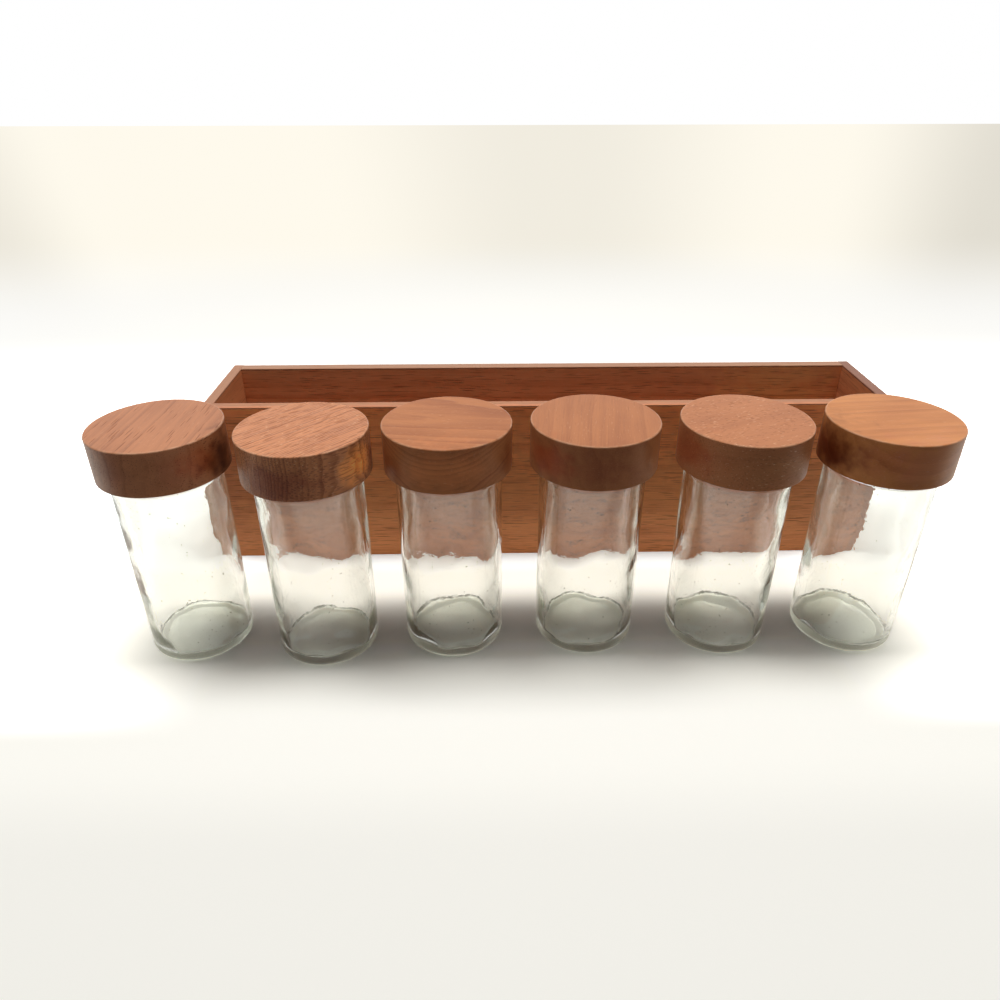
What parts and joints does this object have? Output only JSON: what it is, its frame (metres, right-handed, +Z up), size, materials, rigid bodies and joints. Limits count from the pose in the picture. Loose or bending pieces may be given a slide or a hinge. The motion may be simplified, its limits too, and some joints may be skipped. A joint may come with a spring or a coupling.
{
  "type": "spice tray with lidded glass jars",
  "caption": "Open wooden tray for spice jars, with straight glass jars in a loose row before it, each closed by a thick turned wooden lid on a ribbed stopper.",
  "frame": {"origin": "centre of the tray's underside, on the surface it stands on", "axes": "+X along the tray's length, to the right seen from the jars; +Y from the jars to the tray, towards its back board; +Z up"},
  "size_m": [0.36, 0.153, 0.1054],
  "materials": {
    "left_end": "oiled teak, fine open grain",
    "right_end": "oiled teak, fine open grain",
    "front_board": "oiled teak, fine open grain",
    "back_board": "oiled teak, fine open grain",
    "bottom_board": "oiled teak, fine open grain",
    "brads": "dulled steel",
    "lid_1": "turned and oiled teak",
    "lid_2": "turned and oiled teak",
    "lid_3": "turned and oiled teak",
    "lid_4": "turned and oiled teak",
    "lid_5": "turned and oiled teak",
    "lid_6": "turned and oiled teak",
    "jar_glass": "clear pressed glass, slightly wavy",
    "stopper": "natural polyethylene"
  },
  "bodies": {
    "tray": {"left_end": "left_end", "right_end": "right_end", "front_board": "front_board", "back_board": "back_board", "bottom_board": "bottom_board", "corner_brads": "brads", "bottom_brads": "brads"},
    "jar_1": {"jar_1": "jar_glass"},
    "lid_1": {"lid_1": "lid_1", "stopper_1": "stopper"},
    "jar_2": {"jar_2": "jar_glass"},
    "lid_2": {"lid_2": "lid_2", "stopper_2": "stopper"},
    "jar_3": {"jar_3": "jar_glass"},
    "lid_3": {"lid_3": "lid_3", "stopper_3": "stopper"},
    "jar_4": {"jar_4": "jar_glass"},
    "lid_4": {"lid_4": "lid_4", "stopper_4": "stopper"},
    "jar_5": {"jar_5": "jar_glass"},
    "lid_5": {"lid_5": "lid_5", "stopper_5": "stopper"},
    "jar_6": {"jar_6": "jar_glass"},
    "lid_6": {"lid_6": "lid_6", "stopper_6": "stopper"}
  },
  "joints": [
    {"name": "jar_1_lift", "type": "slide", "parent": "tray", "child": "jar_1", "axis": [0, 0, 1], "range_m": [0, 0.1]},
    {"name": "lid_1_pull", "type": "slide", "parent": "jar_1", "child": "lid_1", "axis": [0, 0, 1], "range_m": [0, 0.035]},
    {"name": "jar_2_lift", "type": "slide", "parent": "tray", "child": "jar_2", "axis": [0, 0, 1], "range_m": [0, 0.1]},
    {"name": "lid_2_pull", "type": "slide", "parent": "jar_2", "child": "lid_2", "axis": [0, 0, 1], "range_m": [0, 0.035]},
    {"name": "jar_3_lift", "type": "slide", "parent": "tray", "child": "jar_3", "axis": [0, 0, 1], "range_m": [0, 0.1]},
    {"name": "lid_3_pull", "type": "slide", "parent": "jar_3", "child": "lid_3", "axis": [0, 0, 1], "range_m": [0, 0.035]},
    {"name": "jar_4_lift", "type": "slide", "parent": "tray", "child": "jar_4", "axis": [0, 0, 1], "range_m": [0, 0.1]},
    {"name": "lid_4_pull", "type": "slide", "parent": "jar_4", "child": "lid_4", "axis": [0, 0, 1], "range_m": [0, 0.035]},
    {"name": "jar_5_lift", "type": "slide", "parent": "tray", "child": "jar_5", "axis": [0, 0, 1], "range_m": [0, 0.1]},
    {"name": "lid_5_pull", "type": "slide", "parent": "jar_5", "child": "lid_5", "axis": [0, 0, 1], "range_m": [0, 0.035]},
    {"name": "jar_6_lift", "type": "slide", "parent": "tray", "child": "jar_6", "axis": [0, 0, 1], "range_m": [0, 0.1]},
    {"name": "lid_6_pull", "type": "slide", "parent": "jar_6", "child": "lid_6", "axis": [0, 0, 1], "range_m": [0, 0.035]}
  ]
}
